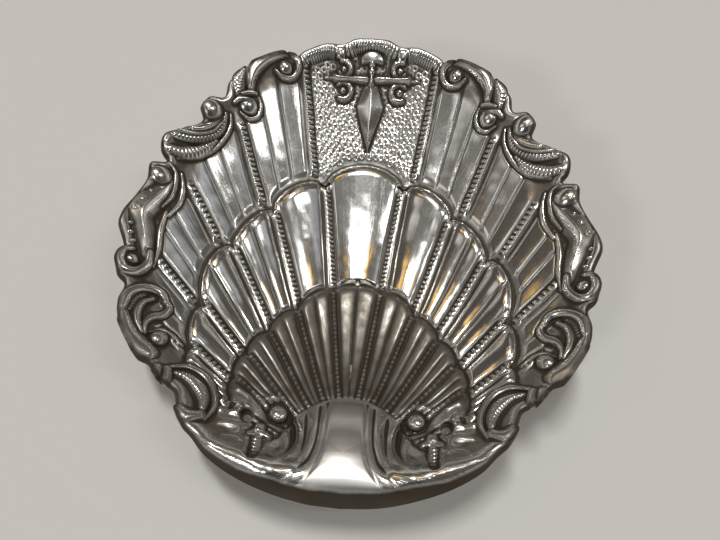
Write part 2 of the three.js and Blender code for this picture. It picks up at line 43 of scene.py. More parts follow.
# The plan of the dish, in millimetres, with +Y from the umbo towards the cross.
# Half of the trimmed edge, from the top of the fan down the right side to the umbo's lip.
EDGE_PLAN = [
    (0, 52.5), (4, 52.2), (6.2, 51.2), (7.4, 50.9), (11, 50.6), (15.5, 48.5), (17.6, 47), (21, 46.6),
    (25.6, 44.3), (29.6, 41.3), (31.9, 38), (32.7, 34.6), (35.6, 33.7), (37.4, 31), (36.8, 28.2),
    (40.4, 25.2), (43.9, 22.2), (44, 18.6), (42.9, 16.8), (45.6, 15.4), (46, 11.4), (49.2, 3), (49.5, 0.2),
    (48, -4.4), (49, -7), (48, -10.8), (46.5, -12.4), (46.9, -16), (45.4, -22), (41.2, -27.6),
    (39, -28.5), (37.7, -30.5), (36.3, -32), (35, -32.4), (33.4, -33.2), (32.4, -35.4), (31.9, -38),
    (30.2, -40.2), (28.2, -41.8), (25.4, -44.6), (20, -47.9), (13.5, -50.3), (7, -51.6), (0, -52),
]

# The point that all rays of the fan come from, and the smooth bowl under the relief.
FOCUS_Y = -45.0
STAND_HEIGHT = 5.0
BOWL_DEPTH = 17.5
FLOOR_Y = -10.0
SIDE_REACH = 49.0
FAN_REACH = 60.0
UMBO_REACH = 42.0
STEEPEST_SHARE = 1.1
SHEET_THICKNESS = 0.45

# Tiers: where the lobes part (degrees), how far out the cusps between them lie, how far each lobe's
# tip reaches past them, how many flutes each lobe holds, how much a flute rises for its width, half
# the width of a rib, and whether beads stand on it or notches are cut into it.
INNER = dict(
    cusps=[7.5, 20, 32.2, 43.7, 54, 64], radii=[40.4, 36.8, 33.7, 31, 28.3, 24.5],
    tips=[1.7, 1.8, 1.6, 1.5, 1.5, 1.3], flutes=[2, 2, 2, 2, 2, 1], crown=0.065, rib=0.5, beaded=True,
)
MIDDLE = dict(
    cusps=[7.8, 19.5, 30.8, 44.6, 55.5, 65.5], radii=[64.9, 60.4, 53.9, 44.7, 38.6, 33.2],
    tips=[5.3, 3.4, 2.4, 3.7, 2.2, 1.6], flutes=[1, 1, 2, 2, 1, 2], crown=0.11, rib=0.85, beaded=False,
)
OUTER = dict(
    cusps=[9.8, 21.2, 33, 46.3, 57.5, 68], flutes=[1, 3, 3, 3, 2, 2], crown=0.018, rib=0.95, beaded=False,
)
INNER_START = 15.0
FAN_END = 68.0
EAR_START = 84.0
LIP_MIDDLE = 150.0

# The sunk channel along a tier's scalloped edge with the rise after it, and the narrower step that a
# tongue rises from.
CHANNEL_WIDTH = 1.2
CHANNEL_DEPTH = 0.65
CHANNEL_RISE = 2
STEP_WIDTH = 0.5
STEP_RISE = 1.3
TONGUE_LIFT = 1.3
TIP_LENGTH = 2.8
RIB_HEIGHT = 0.6
GROOVE_DEPTH = 0.4
GUTTER = 0.75
BEAD_PITCH = 1.05

# The panel's half angle in degrees, and the widths of the rim and of its short flutes at the top.
PANEL_EDGE = 8.9
RIM_WIDTH = 7.5
TOP_RIM_WIDTH = 3.8
TOOTH_PITCH = 0.68

# How far the trimmed edge turns down, round the fan and at the lip.
EDGE_DROP = 3.6
LIP_DROP = 8


def unit(value):
    """A value held between 0 and 1."""
    return np.clip(value, 0, 1)


def smoothstep(value, low, high):
    """A soft step from 0 at low to 1 at high."""
    share = unit((value - low) / (high - low))
    return share * share * (3 - 2 * share)


def fade(value, low, high):
    """A soft step from 1 at low to 0 at high."""
    return 1 - smoothstep(value, low, high)


def bump(distance, half_width):
    """A soft bell that is 1 at no distance."""
    return np.exp(-(distance / half_width) ** 2)


def dome(share):
    """Height of a half-round profile at a share of its half width."""
    return np.sqrt(unit(1 - share * share))


def between(start, end, low, high, place):
    """The line from start at low to end at high, at a place."""
    return start + (end - start) * (place - low) / (high - low)


def smooth_curve(points, step=0.25):
    """A centripetal Catmull-Rom curve through points, in short even steps."""
    places = np.array(points, float)
    places = np.vstack([2 * places[0] - places[1], places, 2 * places[-1] - places[-2]])
    curve = []
    for p0, p1, p2, p3 in zip(places, places[1:], places[2:], places[3:]):
        spans = [math.sqrt(math.dist(*pair)) for pair in ((p0, p1), (p1, p2), (p2, p3))]
        k0, k1, k2, k3 = np.cumsum([0] + spans)
        count = max(int(math.dist(p1, p2) / step), 2)
        place = np.linspace(k1, k2, count, endpoint=False)[:, None]
        first = between(p0, p1, k0, k1, place)
        second = between(p1, p2, k1, k2, place)
        third = between(p2, p3, k2, k3, place)
        first, second = between(first, second, k0, k2, place), between(second, third, k1, k3, place)
        curve.append(between(first, second, k1, k2, place))
    return np.vstack([*curve, places[-2:-1]])


class Grid:
    """A raster of the plan that holds the relief above the bowl and the grime in its creases."""

    def __init__(self, low_x, high_x, pixel):
        self.pixel = pixel
        self.xs = np.arange(round(low_x / pixel), round(high_x / pixel) + 1) * pixel
        self.ys = np.arange(round(-REACH_Y / pixel), round(REACH_Y / pixel) + 1) * pixel
        self.x, self.y = np.meshgrid(self.xs, self.ys)
        self.relief = np.zeros_like(self.x)
        self.grime = np.zeros_like(self.x)

    def window(self, low, high):
        """Rows and columns that hold a rectangle of the plan."""
        left = int(np.clip((low[0] - self.xs[0]) / self.pixel, 0, len(self.xs) - 1))
        right = int(np.clip((high[0] - self.xs[0]) / self.pixel + 2, 1, len(self.xs)))
        bottom = int(np.clip((low[1] - self.ys[0]) / self.pixel, 0, len(self.ys) - 1))
        top = int(np.clip((high[1] - self.ys[0]) / self.pixel + 2, 1, len(self.ys)))
        return slice(bottom, top), slice(left, right)

    def trace(self, path, reach):
        """Distance across a path (positive on its left) and along it, near it."""
        window = self.window(path.min(axis=0) - reach, path.max(axis=0) + reach)
        rows, columns = window
        x, y = self.x[window], self.y[window]
        nearest = np.full(x.shape, 1e3)
        across = np.full(x.shape, -1e3)
        along = np.zeros(x.shape)
        walked = 0.0
        for start, end in zip(path[:-1], path[1:]):
            length = math.dist(start, end)
            if length < 1e-6:
                continue
            near = self.window(np.minimum(start, end) - reach, np.maximum(start, end) + reach)
            part = (
                slice(near[0].start - rows.start, near[0].stop - rows.start),
                slice(near[1].start - columns.start, near[1].stop - columns.start),
            )
            tx, ty = (end - start) / length
            px, py = x[part] - start[0], y[part] - start[1]
            share = np.clip(px * tx + py * ty, 0, length)
            dx, dy = px - share * tx, py - share * ty
            distance = np.hypot(dx, dy)
            closer = distance < nearest[part]
            nearest[part][closer] = distance[closer]
            across[part][closer] = (np.where(tx * dy - ty * dx < 0, -1, 1) * distance)[closer]
            along[part][closer] = walked + share[closer]
            walked += length
        return window, across, along, walked

    def stain(self, window, grime):
        """Adds grime wherever there is less of it."""
        self.grime[window] = np.maximum(self.grime[window], grime)

    def lay(self, window, outside, level, moat=0.3, depth=0.3):
        """Lays a form over the relief: its own level inside its outline, a sunk line around it."""
        ground = self.relief[window]
        line = depth * bump(outside, moat)
        self.relief[window] = np.where(outside < 0, level, ground - line)
        self.grime[window] *= outside > 0
        self.stain(window, bump(outside, moat))


def band(grid, points, widths, height, lift=0.2, roof=False, notches=None, moat=0.3, depth=0.2):
    """A round or sharp ridge along a curve. notches is the pitch and depth of cuts across it."""
    path = smooth_curve(points)
    window, across, along, length = grid.trace(path, max(widths) + 1.2)
    half = np.interp(along / length, np.linspace(0, 1, len(widths)), widths)
    share = np.abs(across) / half
    form = lift + height * (unit(1 - share) if roof else unit(1 - share ** 2) ** 0.8)
    if notches:
        pitch, cut = notches
        in_cut = (0.5 + 0.5 * np.cos(2 * np.pi * along / pitch)) * fade(share, 0.6, 0.95)
        form = form - cut * in_cut
    grid.lay(window, np.abs(across) - half, form, moat, depth)
    if notches:
        grid.stain(window, 0.8 * in_cut * (share < 1))


def ball(grid, x, y, radius, height, lift=0.2, moat=0.35, depth=0.25):
    """A round boss."""
    window = grid.window((x - radius - 1.2, y - radius - 1.2), (x + radius + 1.2, y + radius + 1.2))
    distance = np.hypot(grid.x[window] - x, grid.y[window] - y)
    level = unit(1 - (distance / radius) ** 2) ** 0.7
    grid.lay(window, distance - radius, lift + height * level, moat, depth)


def crease(grid, points, height, half_width, fades=(2, 2), grime=0.0):
    """A soft ridge, or a groove where height is negative, added to what is there."""
    window, across, along, length = grid.trace(smooth_curve(points), 3 * half_width)
    strength = smoothstep(along, 0, fades[0]) * smoothstep(length - along, 0, fades[1])
    strength = strength * bump(across, half_width)
    grid.relief[window] += height * strength
    grid.stain(window, grime * strength)


def blurred(field, half_width):
    """A Gaussian blur; half_width is its sigma in pixels."""
    reach = max(int(3 * half_width), 1)
    kernel = np.exp(-0.5 * (np.arange(-reach, reach + 1) / half_width) ** 2)
    kernel /= kernel.sum()
    for axis in (0, 1):
        pads = [(reach, reach) if axis == a else (0, 0) for a in (0, 1)]
        padded = np.pad(field, pads, mode="edge")
        total = np.zeros_like(field)
        size = field.shape[axis]
        for offset, weight in enumerate(kernel):
            part = [slice(None), slice(None)]
            part[axis] = slice(offset, offset + size)
            total += weight * padded[tuple(part)]
        field = total
    return field


# The raster's reach and pixel in millimetres. The right half is worked out first.
REACH_X = 51
REACH_Y = 54
PIXEL = 0.1

half = Grid(0, REACH_X, PIXEL)
angle = np.degrees(np.arctan2(half.x, half.y - FOCUS_Y))
radius = np.maximum(np.hypot(half.x, half.y - FOCUS_Y), 0.05)

# The trimmed edge, and the distance inside it.
half_outline = smooth_curve(EDGE_PLAN)
top_end = half_outline[1:30][::-1] * (-1, 1)
low_end = half_outline[-30:-1][::-1] * (-1, 1)
edge_path = np.vstack([top_end, half_outline, low_end])
edge_window, edge_across, edge_along = half.trace(edge_path, 9.0)[:3]
FAR = 99.0
inset = np.full(half.x.shape, FAR)
inset[edge_window] = np.where(edge_across < -FAR, FAR, -edge_across)
along_edge = np.zeros(half.x.shape)
along_edge[edge_window] = edge_along


def lobe_at(tier):
    """The lobe at each place: its number, the angles it lies between, and the share of the way."""
    cusps = np.array(tier["cusps"])
    index = np.minimum(np.searchsorted(cusps, angle), len(cusps) - 1)
    high = cusps[index]
    low = np.where(index == 0, -high, cusps[np.maximum(index - 1, 0)])
    share = unit((angle - low) / (high - low))
    return index, low, high, share


def tier_edge(tier):
    """Radius of the scalloped line where a tier's tongues end."""
    index, _, _, share = lobe_at(tier)
    radii = np.array(tier["radii"])
    outer = radii[index]
    inner = np.where(index == 0, outer, radii[np.maximum(index - 1, 0)])
    return inner + (outer - inner) * share + np.array(tier["tips"])[index] * dome(2 * share - 1)


def rib_distance(tier):
    """Distance from the nearest rib between two lobes, positive away from the long axis."""
    cusps = np.array(tier["cusps"])
    nearest = cusps[np.argmin(np.abs(angle[..., None] - cusps), axis=-1)]
    return np.radians(angle - nearest) * radius


def bowl_height(x, y):
    """Height of the smooth bowl."""
    reach = np.where(y > FLOOR_Y, FAN_REACH, UMBO_REACH)
    share = (x / SIDE_REACH) ** 2 + ((y - FLOOR_Y) / reach) ** 2
    return STAND_HEIGHT + BOWL_DEPTH * np.minimum(share, STEEPEST_SHARE)


def across_slope():
    """How steeply the bowl rises across the fan's rays, away from the long axis."""
    slope_y, slope_x = np.gradient(bowl_height(half.x, half.y), half.pixel)
    return slope_x * np.cos(np.radians(angle)) - slope_y * np.sin(np.radians(angle))


def ribs(tier):
    """A tier's ribs with their grime: beads stand on them, or notches are cut into their inner side."""
    across = rib_distance(tier)
    aside = np.abs(across)
    outer_side = np.clip(across + 0.1, 0, None)
    shoulder = 0.75 * np.clip(across_slope(), 0, 0.6) * outer_side + 0.12 * outer_side ** 2
    level = RIB_HEIGHT * (1 - unit(aside / tier["rib"]) ** 6) - shoulder - GROOVE_DEPTH
    number = np.argmin(np.abs(angle[..., None] - np.array(tier["cusps"])), axis=-1)
    pitch = BEAD_PITCH * (1 + 0.07 * np.minimum(number, 3))
    phase = radius / pitch + number * 0.37
    if tier["beaded"]:
        wave = np.cos(2 * np.pi * phase)
        return level + 0.1 + 0.28 * wave * bump(aside, 0.5), 0.5 - 0.5 * wave
    place = (phase - np.floor(phase) - 0.5) * pitch
    notch = 1 - ((across + 0.55) / 0.72) ** 2 - (place / (0.34 * pitch)) ** 2
    notch = unit(notch) ** 0.6
    return level - 0.5 * notch, smoothstep(notch, 0.1, 0.5)


def fluted(tier):
    """Flutes and ribs of a tier, and the grime in the ribs' notches and gutters."""
    index, low, high, share = lobe_at(tier)
    to_rib = np.abs(rib_distance(tier))
    width = np.radians(high - low) * radius
    count = np.array(tier["flutes"])[index]
    rib_half = tier["rib"]
    gutter = np.minimum(GUTTER, 0.09 * width)
    rib_share = (rib_half + gutter) / width
    along = np.clip(count * (share - rib_share) / (1 - 2 * rib_share), 0, count - 1e-6)
    across = 2 * (along - np.floor(along)) - 1
    flute_half = width * (1 - 2 * rib_share) / count / 2
    to_side = (1 - np.abs(across)) * flute_half
    tilt = 0.08 * np.sin(2.3 * np.floor(along) + 4.1 * index + 1) * (count > 1)
    rise = tier["crown"] * np.minimum(2 * flute_half, 9)
    level = rise * (1 - np.abs(across) ** 2.3) - GROOVE_DEPTH + 0.12
    level += tilt * across * flute_half
    inner_side = smoothstep(to_rib, rib_half + gutter + 0.4, rib_half + gutter + 0.8)
    level -= inner_side * 0.24 * bump(to_side, 0.3)
    level -= 0.25 * fade(to_rib, rib_half + 0.6 * gutter, rib_half + gutter + 0.35)
    in_gutter = fade(to_rib, rib_half + 0.7 * gutter, rib_half + gutter + 0.2)
    rib, rib_grime = ribs(tier)
    on_rib = to_rib < rib_half
    return np.where(on_rib, rib, level), np.where(on_rib, rib_grime, 0.4 * in_gutter)


def tongues(tier, start, edge):
    """Tongues of a tier: they leave the step inside them, rise, and roll down at their tips."""
    along = unit((radius - start) / (edge - start))
    level, grime = fluted(tier)
    lift = TONGUE_LIFT * along * along + level
    leaving = smoothstep(radius - start, STEP_WIDTH / 2, STEP_WIDTH / 2 + STEP_RISE)
    tip = dome(1 - unit((edge - radius) / TIP_LENGTH))
    return (lift + CHANNEL_DEPTH) * leaving * tip - CHANNEL_DEPTH, grime


def fan_height():
    """Height of the three tiers, and the grime in their beads."""
    inner, middle = tier_edge(INNER), tier_edge(MIDDLE)
    first, first_grime = tongues(INNER, INNER_START - CHANNEL_WIDTH, inner)
    second, second_grime = tongues(MIDDLE, inner, middle)
    leaving = smoothstep(radius - middle, CHANNEL_WIDTH / 2, CHANNEL_WIDTH / 2 + CHANNEL_RISE)
    level, third_grime = fluted(OUTER)
    in_panel = angle < PANEL_EDGE
    bands = np.where(in_panel, -GROOVE_DEPTH, level)
    bands = bands - 0.25 * bump((angle - PANEL_EDGE) * np.radians(1) * radius, 0.25)
    third = (bands + CHANNEL_DEPTH) * leaving - CHANNEL_DEPTH
    third_grime = np.where(in_panel, 0, third_grime)
    places = [radius < inner, radius < middle]
    height = np.select(places, [first, second], third)
    return height, np.select(places, [first_grime, second_grime], third_grime)


def rim_and_fan():
    """Everything of the relief that follows the fan's angles or the trimmed edge."""
    in_fan = fade(angle, FAN_END - 4, FAN_END + 4)
    in_lip = smoothstep(angle, EAR_START - 6, EAR_START + 6)
    at_top = np.where(half.y > 0, fade(half.x, 16, 18), 0)
    beside_scroll = bump(half.x - 20, 4) * (half.y > 30)
    band_width = RIM_WIDTH - 3.2 * beside_scroll
    band_width += (TOP_RIM_WIDTH - band_width) * at_top
    on_rim = fade(inset, band_width - 2.4, band_width)
    held = np.clip(inset, -0.3, None)
    scrolled = 0.45 * bump(held - 1.1, 0.9) - 0.3 * smoothstep(held, 2, 4)
    flutes_in = smoothstep(held, 1, 1.3) * fade(held, 3.4, 3.7) * at_top
    wave = np.cos(2 * np.pi * along_edge / TOOTH_PITCH)
    short_flutes = 0.3 * wave * flutes_in
    topped = 0.55 * smoothstep(held, -0.3, 0.9) * fade(held, 3, 4) + short_flutes
    topped -= 0.3 * bump(held - 3.8, 0.35)
    rolled = unit(held / 4.5)
    drop = EDGE_DROP + (LIP_DROP - EDGE_DROP) * smoothstep(angle, EAR_START, LIP_MIDDLE)
    lip = 0.65 * bump(held - 4.3, 1.5) - drop * (1 - rolled) ** 2
    rim = scrolled + (topped - scrolled) * at_top
    rim = rim + (lip - rim) * in_lip
    skirt = (1 - in_lip) * 1.1 * np.clip(1 - held / 0.6, 0, None) ** 1.5
    beyond_start = smoothstep(radius, INNER_START - CHANNEL_WIDTH, INNER_START)
    fan, grime = fan_height()
    inside = in_fan * beyond_start * (1 - on_rim)
    between_flutes = flutes_in * unit(-2 * wave)
    return inside * fan + on_rim * rim - skirt, inside * grime + between_flutes


# The neck: how far it lies from the centre towards the lip, with its height there, and its half width.
NECK_LINE = [
    (27, 7.8), (29.5, 8.9), (31.5, 10.6), (34, 13.6), (37, 16.4), (40, 18.2), (43, 19.3), (46, 20),
    (48, 20.1), (49.8, 19.1), (51.2, 16.8), (52.2, 14.4),
]
NECK_HALF = [(30, 3.7), (40, 3.8), (43, 4.1), (46, 5), (49, 6.8), (51.5, 9)]


def neck_and_ears():
    """The swelling under the neck and the hollow of the ear beside it."""
    across = unit(half.x / 8)
    neck = 4.2 * bump(half.y + 39, 6.5) * (1 - across ** 2)
    away = np.hypot(half.x - 13.5, half.y + 38.5) / 7.5
    return neck - 3 * fade(away, 0.35, 1)


def polished_neck(relief):
    """The smooth column of the neck, laid over the rest."""
    line = smooth_curve(NECK_LINE)
    middle = np.interp(-half.y, line[:, 0], line[:, 1]) - bowl_height(half.x, half.y)
    share = half.x / np.interp(-half.y, *np.transpose(NECK_HALF))
    column = middle - 0.3 * share ** 2
    weight = fade(share, 0.8, 1.5) * smoothstep(-half.y, 28, 31.5)
    return relief + (column - relief) * weight


rim_level, half.grime = rim_and_fan()
half.relief = polished_neck(rim_level + neck_and_ears())


def upper_scroll(grid):
    """The C-scroll beside the top of the fan, between its two volutes."""
    band(grid, [(28.4, 41.2), (29.7, 38.6), (29.4, 35.8)], [0.8, 1.6, 1.1], 0.75, 0.2, notches=(0.7, 0.2))
    band(grid, [(18.3, 46.8), (21, 46.2), (24, 44.6), (26.2, 42.4), (27.2, 40), (27.1, 37.6)],
         [0.7, 1, 1.3, 1.6, 1.5, 0.9], 1.2, 0.1)
    ball(grid, 19.8, 43.7, 1.6, 1, 0.1)
    band(grid, [(21.9, 42.6), (20.2, 41.6), (18, 42), (16.9, 43.9), (17.2, 45.9), (19, 46.9)],
         [0.4, 0.65, 0.7, 0.75, 0.8, 0.8], 0.9, 0.15)
    band(grid, [(28.9, 31.9), (27, 31.2), (25.2, 32.2), (24.6, 34.6), (25.2, 36.2)],
         [0.3, 0.45, 0.5, 0.45, 0.3], 0.45, 0.1)
    ball(grid, 27.4, 34, 2, 0.9, 0.1)
    band(grid, [(30.4, 33.6), (29.2, 34.9), (27.6, 35.3)], [0.4, 0.7, 0.4], 0.5, 0.4)
    band(grid, [(29, 36), (27.5, 36.7), (25.8, 36.9)], [0.4, 0.6, 0.4], 0.45, 0.3)


def leaf(grid):
    """Two nested, notched crescents between the two balls of the rim."""
    band(grid, [(31, 31), (30.9, 28.4), (32.1, 25), (34.5, 21.6), (37.5, 19), (40.6, 17.9)],
         [0.3, 0.5, 0.6, 0.5, 0.4], 0.4, 0.05)
    band(grid, [(32.6, 29.8), (33.9, 27.6), (36, 26.1), (38.4, 25.2)], [0.4, 1.1, 1.2, 0.6], 0.8, 0.3)
    band(grid, [(33.4, 24.5), (36.2, 21.2), (39.2, 19.6), (42.6, 19.3)], [0.4, 1.2, 1.5, 1], 0.7, 0.15,
         notches=(0.8, 0.3))
    band(grid, [(31.9, 30.8), (32.9, 27.1), (35.4, 24.6), (38.5, 23.2), (41.5, 22.6)],
         [0.4, 0.9, 1.2, 1.2, 0.8], 0.75, 0.2, notches=(0.75, 0.3))
    band(grid, [(32.6, 28.7), (34.4, 26.1), (37.4, 24.5), (41, 23.8)],
         [0.3, 0.45, 0.5, 0.4], 0.6, 0.45, True)
    ball(grid, 34.9, 30.6, 2.2, 1.1)


def ribbon(grid):
    """The bent ribbon with its pearls, from the second ball to the spiral."""
    band(grid, [(39.5, 15), (38.9, 11.6), (39.2, 8.4), (40.9, 4.8)], [0.3, 0.5, 0.5, 0.3], 0.35, 0)
    band(grid, [(41.4, 5.6), (41.9, 1), (41.7, -3.6), (42.2, -7.4)], [0.3, 0.5, 0.5, 0.3], 0.35, 0)
    band(grid, [(40.6, 13), (42.9, 9.4), (45.8, 3.8), (45.1, 0.3), (44.2, -3), (43.4, -6)],
         [0.9, 2, 2.6, 2.3, 1.9, 1], 1.6, -0.1, True, moat=0.4, depth=0.15)
    band(grid, [(42.3, 16.1), (40.8, 15), (40.5, 12.2), (40.9, 9.2), (42.3, 6.2)],
         [0.3, 0.5, 0.55, 0.5, 0.3], 0.45, 0.15)
    for x, y in [(44.9, 8.9), (46.1, 6.6), (47.3, 4), (47.4, 0.6), (47, -1.3), (46.3, -3)]:
        ball(grid, x, y, 0.42, 0.3, 0.5, 0.15, 0.1)
    ball(grid, 43.3, 12.9, 2.1, 1)
    band(grid, [(43.2, -4.6), (43.3, -7.4), (44.9, -9.5), (46.9, -9.6), (48.1, -7.8), (47.6, -5.4),
                (46, -4.8)], [0.7, 0.95, 1.05, 1, 0.8, 0.4], 0.95, 0.2)
    ball(grid, 45.9, -7, 1.2, 0.9, 0)


def lower_scroll(grid):
    """The C-scroll beside the middle of the fan."""
    band(grid, [(45.4, -18.6), (44.2, -22), (42, -24.6), (39.2, -26.4)], [0.8, 1.7, 2.1, 1.6], 1.1, 0)
    band(grid, [(38.6, -13.9), (37.9, -15.7), (38.7, -17.3), (40.4, -18.3), (41.3, -20.2), (40.9, -22.4)],
         [0.5, 0.75, 0.85, 0.8, 0.6, 0.4], 0.7, 0.1)
    band(grid, [(42.6, -13.8), (44.3, -15.3), (44.6, -17.8)], [0.6, 1, 0.6], 0.35, 0.2,
         notches=(0.65, 0.25))
    band(grid, [(45.6, -18), (45.4, -15), (44.1, -13.1), (42, -12.3), (39.9, -12.7), (38.5, -14.6)],
         [0.6, 0.9, 1, 1.05, 0.95, 0.6], 0.95, 0.2)
    band(grid, [(40.9, -14.4), (42.5, -15.6), (43.1, -17.8), (42.7, -20.3), (41.5, -22.5)],
         [0.4, 0.7, 0.8, 0.7, 0.4], 0.7, 0.2)
    band(grid, [(40.2, -21.8), (38.2, -20.7), (35.9, -21.4), (33.9, -22.9)],
         [0.3, 0.5, 0.5, 0.3], 0.35, 0.1)
    ball(grid, 38.3, -22.8, 1.7, 1.1, 0.1)


def knot_and_band(grid):
    """The knot, and the scrolled band that joins it to the ear's rim."""
    band(grid, [(35, -28.4), (31.8, -27.7), (28.4, -29.2), (26.2, -32.6), (25.6, -36), (26.6, -38.6)],
         [0.5, 0.7, 0.75, 0.75, 0.6, 0.4], 0.6, 0.1)
    band(grid, [(33.8, -29.8), (31.4, -30.3), (29, -32.2), (27.7, -34.8), (27.5, -37.2)],
         [0.7, 1.2, 1.4, 1.2, 0.7], 1.1, 0.1, notches=(0.75, 0.15))
    band(grid, [(37.3, -29.2), (36.7, -31.2)], [1, 0.9], 0.9, 0.2)
    band(grid, [(35.5, -29.2), (35, -31.6)], [0.9, 0.9], 1.1, 0.2)
    band(grid, [(31.6, -37), (29.8, -38.4), (27.4, -38)], [0.9, 1.4, 1], 1.1, 0.1)


EAR_FOLDS = [
    ((19.6, -36.4), (25.6, -35.4)), ((19, -38.6), (25.2, -38.4)), ((19.6, -34.4), (25.4, -32.6)),
    ((18.4, -33), (23, -30.4)), ((18, -41), (23.6, -41)),
]


def ear_forms(grid):
    """In the hollow ear: curved folds by the neck, a notched stem with its collar, a ball, radial folds."""
    crease(grid, [(11, -32.8), (9, -36.8), (9, -41), (10.9, -44), (13.8, -45)], 0.9, 0.9)
    crease(grid, [(12.6, -36.4), (11.4, -39.6), (12, -42.4), (14.4, -43.6)], 0.7, 0.7)
    crease(grid, [(10.6, -35), (10.3, -40), (11.7, -43.4)], -0.2, 0.5, grime=0.3)
    band(grid, [(16.8, -39), (16.9, -44.4)], [1, 1], 0.7, -2.1, notches=(0.8, 0.35))
    band(grid, [(14.8, -39.3), (16.6, -38.5), (18.6, -39.1)], [0.6, 0.9, 0.6], 0.5, -2)
    ball(grid, 16.6, -37.7, 1.1, 0.6, -1.5, 0.2, 0.1)
    ball(grid, 19.4, -36, 1.3, 0.6, -1.6, 0.2, 0.1)
    crease(grid, [(12, -32.2), (14.4, -31.2), (16.6, -32.5), (17, -34.8)], 0.35, 0.6)
    ball(grid, 13.6, -34.1, 1.85, 1.6, -1.6)
    for start, end in EAR_FOLDS:
        crease(grid, [start, end], 0.45, 0.55, (1.5, 1.5))


EAR_CREST = [
    (28.5, -41), (24, -43.6), (20, -45.2), (17, -46.4), (15, -47.3), (12, -47.5), (10, -46.4),
    (8, -44.4), (7, -42), (6.6, -39), (7, -34.6), (8.4, -31.6),
]
NECK_GROOVES = [
    [(4, -31), (4, -38), (4.1, -42), (4.8, -45.6), (6.6, -48), (9.4, -49.6)],
    [(5.4, -32), (5.4, -38), (5.6, -42), (6.8, -45.2), (9, -47.4), (12, -48.8)],
]


def neck_lines(grid):
    """The grooves beside the neck and the soft crest that runs on round the ear."""
    crease(grid, EAR_CREST[:7], 0.95, 1.15, (5, 4))
    crease(grid, EAR_CREST[5:], 0.4, 0.7, (4, 3))
    for groove in NECK_GROOVES:
        crease(grid, groove, -0.28, 0.42, (2, 5), 0.6)


upper_scroll(half)
leaf(half)
ribbon(half)
lower_scroll(half)
knot_and_band(half)
ear_forms(half)
neck_lines(half)


def mirrored(field):
    """Both halves of a field that was worked out on the right one."""
    return np.hstack([field[:, :0:-1], field])


# Both halves, and what only the whole has: the punched panel, the cross, the nicks and the hand work.
whole = Grid(-REACH_X, REACH_X, PIXEL)
whole.relief = mirrored(half.relief)
whole.grime = mirrored(half.grime)
whole_inset = mirrored(inset)
whole_radius = np.hypot(whole.x, whole.y - FOCUS_Y)
turned = np.abs(np.degrees(np.arctan2(whole.x, whole.y - FOCUS_Y)))
inner_edge = mirrored(tier_edge(INNER))
middle_edge = mirrored(tier_edge(MIDDLE))

# The rings of the panel: how far apart, how many rows, how many to each side, and the first row's place.
RING_PITCH = 1.46
RING_ROWS = 24
RINGS_ASIDE = 12
FIRST_ROW_Y = 23.2

# The cross: its middle, the blade's half width along it, the bar's half length, how far out the arms curl,
# and how far up the hilt and the middle of its cap lie.
CROSS_X = 0.3
CROSS_Y = 43.7
BLADE = [(28.2, 0.0), (38.2, 3.2), (43.7, 1.2)]
BAR_HALF = 8.4
CURL_X = 6.6
HILT_TOP_Y = 47.6
CAP_Y = 47.5

# The right one of the top rim's two square bosses: its middle and half size.
BOSS_X = 7.2
BOSS_Y = 48.7
BOSS_HALF_WIDTH = 0.95
BOSS_HALF_LENGTH = 1.15

# The right one of the two nicks: the middle and radius of its bend.
NICK_X = 9.1
NICK_Y = 20.9
NICK_RADIUS = 1.2


def punched_rings(grid):
    """Small rings struck close together over the panel, polished on their crests only."""
    in_panel = (turned < PANEL_EDGE - 0.2) & (whole_inset > 4)
    grid.grime[in_panel & (whole_radius > middle_edge + 1.5)] = 1.15
    places = []
    for row in range(RING_ROWS):
        for column in range(-RINGS_ASIDE, RINGS_ASIDE + 1):
            x = (column + 0.5 * (row % 2)) * RING_PITCH + rng.uniform(-0.2, 0.2)
            y = FIRST_ROW_Y + row * RING_PITCH * 0.87 + rng.uniform(-0.2, 0.2)
            places.append((x, y))
    for x, y in places:
        off_axis = abs(math.degrees(math.atan2(x, y - FOCUS_Y)))
        column = int(round((x - grid.xs[0]) / grid.pixel))
        row = int(round((y - grid.ys[0]) / grid.pixel))
        if off_axis > PANEL_EDGE - 0.2 or row >= len(grid.ys):
            continue
        out = math.hypot(x, y - FOCUS_Y) - middle_edge[row, column]
        if out < CHANNEL_WIDTH / 2 + 0.7 or whole_inset[row, column] < 4.2:
            continue
        window = grid.window((x - 1, y - 1), (x + 1, y + 1))
        distance = np.hypot(grid.x[window] - x, grid.y[window] - y)
        size = rng.uniform(0.52, 0.58)
        grid.relief[window] += 0.12 * bump(distance - size, 0.15) - 0.05 * bump(distance, 0.3)
        grid.grime[window] *= 1 - 0.95 * bump(distance - size, 0.15)
        grid.grime[window] *= 1 - 0.4 * (distance < size)


def spiral(middle, start, turns, wide, narrow):
    """Points of a curl that tightens round its middle; start in turns, clockwise if turns is negative."""
    shares = np.linspace(0, 1, 9)
    angles = 2 * math.pi * (start + turns * shares)
    sizes = wide + (narrow - wide) * shares
    return [(middle[0] + r * math.cos(a), middle[1] + r * math.sin(a)) for r, a in zip(sizes, angles)]


